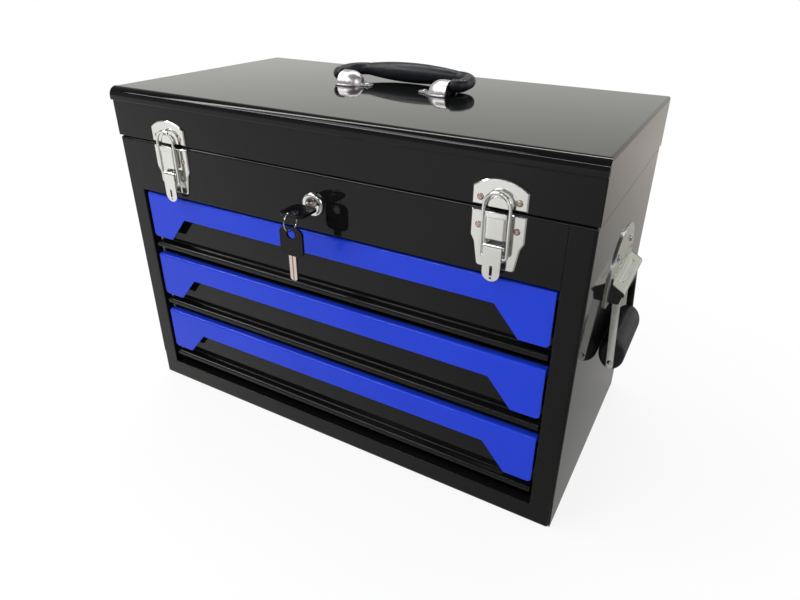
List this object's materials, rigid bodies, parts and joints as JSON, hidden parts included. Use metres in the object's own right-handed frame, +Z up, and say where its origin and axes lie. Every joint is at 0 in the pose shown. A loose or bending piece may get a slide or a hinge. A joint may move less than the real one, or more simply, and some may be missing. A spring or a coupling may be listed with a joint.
{
  "type": "portable tool chest with drawers",
  "caption": "Sheet steel tool chest with drawers, a lift-up lid over a tray, draw latches, a cylinder lock with keys, a folding top handle and side drop handles.",
  "frame": {"origin": "middle of the base's underside, on the surface that the chest stands on", "axes": "+X along the width to the right of someone facing the drawers, +Y to the rear, +Z up"},
  "size_m": [0.5158, 0.291, 0.3497],
  "materials": {
    "black_paint": "gloss",
    "blue_paint": "gloss",
    "chrome": "polished",
    "zinc": "satin",
    "rubber": "matte",
    "plastic": "satin"
  },
  "bodies": {
    "case": {"side_panel_left": "black_paint", "side_panel_right": "black_paint", "front_header": "black_paint", "back_panel": "black_paint", "base_pan": "black_paint", "tray_floor": "black_paint", "runner_posts": "zinc", "runners": "zinc", "hinge_leaf_case": "black_paint", "hinge_pin": "zinc", "latch_base_left": "chrome", "latch_base_right": "chrome", "latch_pins": "chrome", "case_rivets": "chrome", "lock_barrel": "chrome", "lock_nut": "zinc", "side_plate_left": "zinc", "side_plate_right": "zinc", "side_hood_left": "zinc", "side_hood_right": "zinc", "side_pins": "zinc"},
    "lid": {"lid_shell": "black_paint", "hinge_leaf_lid": "black_paint", "lock_catch": "zinc", "latch_keeper_left": "chrome", "latch_keeper_right": "chrome", "lid_rivets": "chrome", "handle_bracket_left": "chrome", "handle_bracket_right": "chrome"},
    "top_handle": {"top_handle_core": "zinc", "top_handle_grip": "rubber"},
    "drawer_1": {"drawer_1_tray": "black_paint", "drawer_1_front": "black_paint", "drawer_1_fascia": "blue_paint", "drawer_1_slides": "zinc"},
    "drawer_2": {"drawer_2_tray": "black_paint", "drawer_2_front": "black_paint", "drawer_2_fascia": "blue_paint", "drawer_2_slides": "zinc"},
    "drawer_3": {"drawer_3_tray": "black_paint", "drawer_3_front": "black_paint", "drawer_3_fascia": "blue_paint", "drawer_3_slides": "zinc"},
    "lever_left": {"latch_lever_left": "chrome"},
    "loop_left": {"latch_loop_left": "chrome"},
    "side_handle_left": {"side_bail_left": "zinc", "side_grip_left": "rubber"},
    "lever_right": {"latch_lever_right": "chrome"},
    "loop_right": {"latch_loop_right": "chrome"},
    "side_handle_right": {"side_bail_right": "zinc", "side_grip_right": "rubber"},
    "lock_cylinder": {"lock_plug": "chrome", "lock_cam": "zinc", "cam_screw": "zinc"},
    "key": {"key_blade": "zinc", "key_bow": "plastic"},
    "ring": {"key_ring": "chrome"},
    "spare_key": {"spare_key_blade": "zinc", "spare_key_bow": "plastic"}
  },
  "joints": [
    {"name": "lid_hinge", "type": "hinge", "parent": "case", "child": "lid", "pos_m": [0, 0.125, 0.283], "axis": [-1, 0, 0], "range_deg": [0, 95]},
    {"name": "top_handle_fold", "type": "hinge", "parent": "lid", "child": "top_handle", "pos_m": [0, 0.014, 0.3384], "axis": [1, 0, 0], "range_deg": [0, 174]},
    {"name": "drawer_1_slide", "type": "slide", "parent": "case", "child": "drawer_1", "axis": [0, -1, 0], "range_m": [0, 0.18]},
    {"name": "drawer_2_slide", "type": "slide", "parent": "case", "child": "drawer_2", "axis": [0, -1, 0], "range_m": [0, 0.18]},
    {"name": "drawer_3_slide", "type": "slide", "parent": "case", "child": "drawer_3", "axis": [0, -1, 0], "range_m": [0, 0.18]},
    {"name": "lever_left_turn", "type": "hinge", "parent": "case", "child": "lever_left", "pos_m": [-0.165, -0.1277, 0.256], "axis": [-1, 0, 0], "range_deg": [0, 135]},
    {"name": "loop_left_swing", "type": "hinge", "parent": "lever_left", "child": "loop_left", "pos_m": [-0.165, -0.128, 0.248], "axis": [-1, 0, 0], "range_deg": [-157.6, 0.1]},
    {"name": "side_handle_left_lift", "type": "hinge", "parent": "case", "child": "side_handle_left", "pos_m": [-0.243, 0.0035, 0.19], "axis": [0, 1, 0], "range_deg": [0, 86]},
    {"name": "lever_right_turn", "type": "hinge", "parent": "case", "child": "lever_right", "pos_m": [0.165, -0.1277, 0.256], "axis": [-1, 0, 0], "range_deg": [0, 135]},
    {"name": "loop_right_swing", "type": "hinge", "parent": "lever_right", "child": "loop_right", "pos_m": [0.165, -0.128, 0.248], "axis": [-1, 0, 0], "range_deg": [-157.6, 0.1]},
    {"name": "side_handle_right_lift", "type": "hinge", "parent": "case", "child": "side_handle_right", "pos_m": [0.243, 0.0035, 0.19], "axis": [0, -1, 0], "range_deg": [0, 86]},
    {"name": "lock_turn", "type": "hinge", "parent": "case", "child": "lock_cylinder", "pos_m": [0, -0.1225, 0.256], "axis": [0, 1, 0], "range_deg": [0, 90]},
    {"name": "key_pull", "type": "slide", "parent": "lock_cylinder", "child": "key", "axis": [0, -1, 0], "range_m": [0, 0.028]},
    {"name": "ring_hang", "type": "hinge", "parent": "key", "child": "ring", "pos_m": [0.0012, -0.15172, 0.25657], "axis": [-0.5774, -0.5774, 0.5774], "range_deg": [0, 120.1]},
    {"name": "spare_key_swing", "type": "hinge", "parent": "ring", "child": "spare_key", "pos_m": [0, -0.15473, 0.24282], "axis": [1, 0, 0], "range_deg": [-20, 20]}
  ],
  "couplings": [
    {"joint": "loop_left_swing", "follows": "lever_left_turn", "ratio": -1.1667},
    {"joint": "loop_right_swing", "follows": "lever_right_turn", "ratio": -1.1667},
    {"joint": "ring_hang", "follows": "lock_turn", "ratio": 1.3333}
  ]
}
